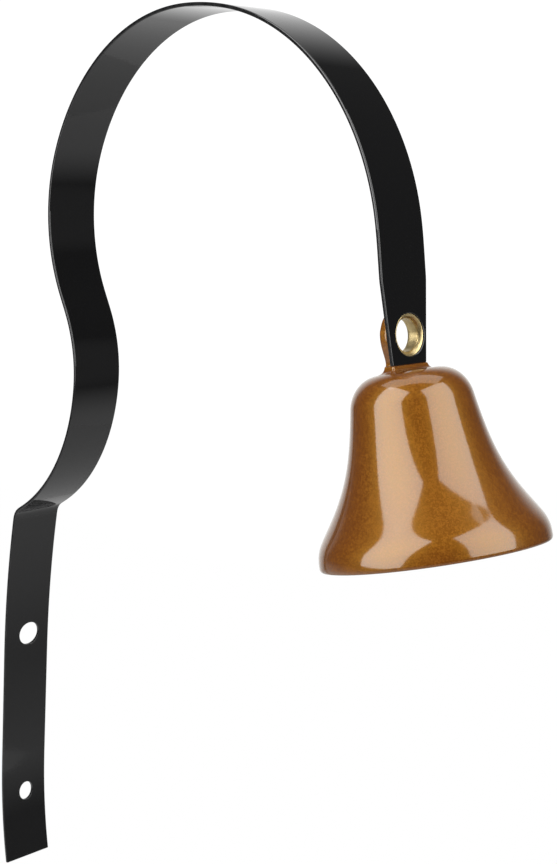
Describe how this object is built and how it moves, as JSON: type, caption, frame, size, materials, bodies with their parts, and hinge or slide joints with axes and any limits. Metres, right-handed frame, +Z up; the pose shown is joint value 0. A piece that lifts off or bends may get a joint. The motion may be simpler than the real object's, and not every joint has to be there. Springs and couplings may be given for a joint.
{
  "type": "wall mounted bell",
  "caption": "Cast bell with an inner clapper, riveted to the end of a bent spring strap that screws flat to a wall and arches out over it.",
  "frame": {"origin": "on the wall face of the strap's mounting leg, midway between its two screw holes and on its centreline", "axes": "+X out of the wall towards the bell, +Y across the strap's width, +Z up the wall"},
  "size_m": [0.2287, 0.068, 0.3294],
  "materials": {
    "strap_paint": "gloss black stove enamel",
    "bell_paint": "gloss bronze metallic paint with a clear coat",
    "eyelet_brass": "bright",
    "hanger_steel": "plain drawn wire",
    "clapper_iron": "dull"
  },
  "bodies": {
    "leg": {"strap_leg": "strap_paint"},
    "arch": {"strap_arch": "strap_paint", "bell_shell": "bell_paint", "eyelet": "eyelet_brass", "clapper_staple": "hanger_steel"},
    "link": {"hanger_link": "hanger_steel"},
    "clapper": {"clapper_rod": "hanger_steel", "clapper_ball": "clapper_iron"}
  },
  "joints": [
    {"name": "strap_flex", "type": "hinge", "parent": "leg", "child": "arch", "pos_m": [0.03112, 0, 0.16704], "axis": [0, 1, 0], "range_deg": [-5, 5], "stiffness_Nm_per_rad": 1.72, "springref_deg": -8.42},
    {"name": "link_swing", "type": "hinge", "parent": "arch", "child": "link", "pos_m": [0.18332, 0, 0.15809], "axis": [0, 1, 0], "range_deg": [-40, 9]},
    {"name": "clapper_swing", "type": "hinge", "parent": "link", "child": "clapper", "pos_m": [0.18332, 0, 0.14919], "axis": [1, 0, 0], "range_deg": [-24, 24]}
  ]
}
